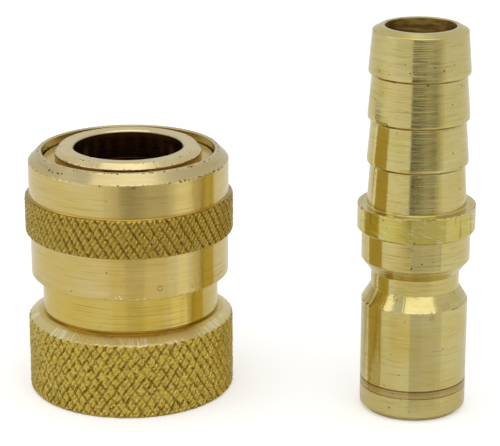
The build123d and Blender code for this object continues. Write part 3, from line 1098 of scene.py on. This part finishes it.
# In millimetres and degrees; angle 0 is straight in front, positive to the right.
FLOOR_HALF = 2500.0
FLOOR_Z = -0.02
FLOOR_COLOUR = rgb(0.93, 0.93, 0.93)
FLOOR_GRAIN = 0.0001  # metres
FLOOR_LIFT = 0.32  # the camera sees the floor this much whiter than its light makes it
SKY = 0.69
WHITE = rgb(1.0, 1.0, 1.0)
BLACK = rgb(0.0, 0.0, 0.0)

# Cards on the floor: from and to angle, then shade. Each ring is its inner and outer radius.
CARD_POINTS = 33
CARD_Z = 1.0
SOCKET_CARDS = (
    (-24, -16, 0.72), (-16, -8, 0.58), (-8, 0, 0.45), (0, 12, 0.31),
    (12, 20, 0.37), (20, 46, 0.49), (46, 52, 0.72),
)
SOCKET_CARD_RING = (98, 135)
SOCKET_FAINT_CARDS = ((-18, -2, 0.90), (-2, 18, 0.78), (18, 42, 0.90))
SOCKET_FAINT_CARD_RING = (36, 98)
PLUG_CARDS = (
    (-21, -10, 0.10), (-10, 0, 0.13), (0, 10, 0.20), (10, 24, 0.34),
    (24, 38, 0.28), (38, 46, 0.50), (46, 54, 0.75),
)
PLUG_CARD_RING = (150, 800)

# Screens bent round the plug: from and to angle, then radiance. Each place is radius and heights.
NOSE_SCREENS = ((-10, 6, 0.61), (6, 30, 0.65), (30, 38, 0.70))
NOSE_SCREEN_PLACE = (12, 0, 16.3)
COLLAR_SCREENS = ((-9.5, 3, 0.57), (3, 20, 0.61), (20, 28.5, 0.66))
COLLAR_SCREEN_PLACE = (9.5, 22.4, 31.0)
SCREEN_COLOUR = rgb(1.0, 0.99, 0.96)

# Upright glowing boards between socket and plug, seen only in reflections; the gold ones put a painted
# reflection of the other part's brass into each part. From and to y, top, the side it faces (-1 the
# socket, 1 the plug) and colour.
BOARD_X = 27
WHITE_BOARD = rgb(0.95, 0.94, 0.92)
SIDE_BOARDS = {
    "board_socket_white": (-24, -9.3, 46, -1, WHITE_BOARD),
    "board_socket_gold_painted_reflection": (-9.3, -0.4, 46, -1, rgb(0.57, 0.47, 0.13)),
    "board_plug_gold_painted_reflection": (-16.8, -7.65, 43.2, 1, rgb(0.48, 0.37, 0.10)),
    "board_plug_white": (-7.65, -4.5, 43.2, 1, WHITE_BOARD),
}

# Panels of light: place, aim, width, height and radiance.
SOFTBOXES = {
    "softbox_top": ((0, -60, 620), (20, 0, 20), 520, 520, 0.66),
    "softbox_left": ((-620, -160, 320), (10, 0, 25), 420, 520, 0.72),
    "softbox_front": ((122, -462, 470), (42, 0, 20), 700, 300, 0.74),
}


def build_floor():
    corners = [(-1, -1), (1, -1), (1, 1), (-1, 1)]
    floor = one_face("floor", [(x * FLOOR_HALF, y * FLOOR_HALF, FLOOR_Z) for x, y in corners])
    shader = Shader("floor_paper")
    grain = shader.noise(shader.own_place(), 900.0, 3.0)
    to_camera = shader.node("ShaderNodeLightPath").outputs["Is Camera Ray"]
    shader.set(
        Base_Color=FLOOR_COLOUR, Roughness=0.9, Specular_IOR_Level=0.1,
        Normal=shader.bump(grain, 0.05, FLOOR_GRAIN),
        Emission_Color=WHITE, Emission_Strength=shader.times(to_camera, FLOOR_LIFT),
    )
    floor.data.materials.append(shader.material)


def only_reflected(board, shader):
    """Lets only reflections see a board."""
    board.data.materials.append(shader.material)
    board.visible_camera = False
    board.visible_diffuse = False
    board.visible_shadow = False
    board.visible_transmission = False


def matt(name, colour):
    """A surface without gloss."""
    shader = Shader(name)
    shader.set(Base_Color=colour, Roughness=1.0, Specular_IOR_Level=0.0)
    return shader


def glowing(name, colour, radiance):
    shader = matt(name, BLACK)
    shader.set(Emission_Color=colour, Emission_Strength=radiance)
    return shader


def arc(axis, radius, z, from_deg, to_deg):
    """Points on an arc about an axis."""
    angle = np.radians(np.linspace(from_deg, to_deg, CARD_POINTS)) - math.pi / 2
    return about_z(radius, z, angle) + np.array([axis[0], axis[1], 0.0])


def strip(name, arcs, row_first):
    """A band of faces between two arcs."""
    quads = grid_faces(2, CARD_POINTS, row_first, close_rows=False, close_columns=False)
    return make_object(name, np.stack(arcs), quads)


def floor_cards(name, axis, ring, cards):
    """Matt boards lying on the floor, as sectors of a ring."""
    for first, last, shade in cards:
        board = strip(name, [arc(axis, radius, CARD_Z, first, last) for radius in ring], False)
        only_reflected(board, matt(name, rgb(shade, 0.94 * shade, 0.74 * shade)))


def curved_screens(name, place, screens):
    """Low glowing screens bent round the plug's axis."""
    radius, *heights = place
    for first, last, radiance in screens:
        screen = strip(name, [arc(PLUG_AXIS, radius, z, first, last) for z in heights], True)
        only_reflected(screen, glowing(name, SCREEN_COLOUR, radiance))


def side_board(name, y_from, y_to, top, faces, colour):
    """An upright glowing board that is clear from behind."""
    corners = [(y_from, 0.0), (y_to, 0.0), (y_to, top), (y_from, top)][::faces]
    board = one_face(name, [(BOARD_X, y, z) for y, z in corners])
    shader = glowing(name, colour, 1.0)
    behind = shader.node("ShaderNodeNewGeometry").outputs["Backfacing"]
    shader.set(Alpha=shader.maths("SUBTRACT", 1.0, behind))
    only_reflected(board, shader)


def softbox(name, place, aim, width, height, radiance):
    """An evenly bright panel, whose power follows from how bright it should look."""
    lamp = bpy.data.lights.new(name, "AREA")
    lamp.shape = "RECTANGLE"
    lamp.size = width * MM
    lamp.size_y = height * MM
    lamp.energy = radiance * math.pi * lamp.size * lamp.size_y
    holder = add_to_scene(lamp)
    holder.location = Vector(place) * MM
    holder.rotation_euler = (Vector(aim) - Vector(place)).to_track_quat("-Z", "Y").to_euler()


def build_sky():
    world = bpy.data.worlds.new("studio")
    world.use_nodes = True
    sky = world.node_tree.nodes["Background"]
    sky.inputs["Color"].default_value = WHITE
    sky.inputs["Strength"].default_value = SKY
    bpy.context.scene.world = world
    bpy.context.scene.view_settings.view_transform = "Standard"


def build_studio():
    build_floor()
    floor_cards("card_socket", SOCKET_AXIS, SOCKET_CARD_RING, SOCKET_CARDS)
    floor_cards("card_socket_faint", SOCKET_AXIS, SOCKET_FAINT_CARD_RING, SOCKET_FAINT_CARDS)
    floor_cards("card_plug", PLUG_AXIS, PLUG_CARD_RING, PLUG_CARDS)
    curved_screens("screen_nose", NOSE_SCREEN_PLACE, NOSE_SCREENS)
    curved_screens("screen_collar", COLLAR_SCREEN_PLACE, COLLAR_SCREENS)
    for name, board in SIDE_BOARDS.items():
        side_board(name, *board)
    for name, panel in SOFTBOXES.items():
        softbox(name, *panel)
    build_sky()


CAMERA_DISTANCE = 320.0
CAMERA_DOWN = math.radians(17.75)
CAMERA_LENS = 152.5
SENSOR_WIDTH = 36.0
NEAREST_SEEN = 0.01  # metres
CAMERA_AIM = (18.2, 0.0, 25.5)


def build_camera():
    lens = bpy.data.cameras.new("camera")
    lens.lens = CAMERA_LENS
    lens.sensor_width = SENSOR_WIDTH
    lens.clip_start = NEAREST_SEEN
    camera = add_to_scene(lens)
    aim = Vector(CAMERA_AIM)
    forward = Vector((0, math.cos(CAMERA_DOWN), -math.sin(CAMERA_DOWN)))
    camera.location = (aim - forward * CAMERA_DISTANCE) * MM
    camera.rotation_euler = (math.pi / 2 - CAMERA_DOWN, 0, 0)
    bpy.context.scene.camera = camera


# ========== Assembly

ball_steel = plain_metal("ball_steel", rgb(0.62, 0.63, 0.65), 0.07, 400.0)
spring_steel = plain_metal("spring_steel", rgb(0.45, 0.46, 0.48), 0.22, 900.0)
seal_rubber = rubber("rubber_seal", rgb(0.012, 0.012, 0.012))
washer_rubber = rubber("rubber_washer", rgb(0.02, 0.02, 0.02))

finish_piece(build_base(), base_brass(), "socket", "end_adapter")
finish_piece(build_body(), body_brass(), "socket", "socket_body")
finish_piece(build_washer(), washer_rubber, "socket", "hose_washer")
finish_piece(build_seal(), seal_rubber, "socket", "nose_seal")
finish_piece(build_ring(), ring_brass(), "socket", "retaining_ring")
finish_piece(build_sleeve(), sleeve_brass(), "sleeve", "release_sleeve")
finish_piece(build_plug(), plug_brass(), "plug", "plug")
for number, angle in enumerate(ball_angles(), start=1):
    ball = build_ball(number, angle)
    finish_piece(ball, ball_steel, f"ball_{number}", f"lock_ball_{number}")
spring = finish_piece(build_spring(), spring_steel, "spring", "sleeve_spring")
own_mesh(spring)

build_studio()
build_camera()
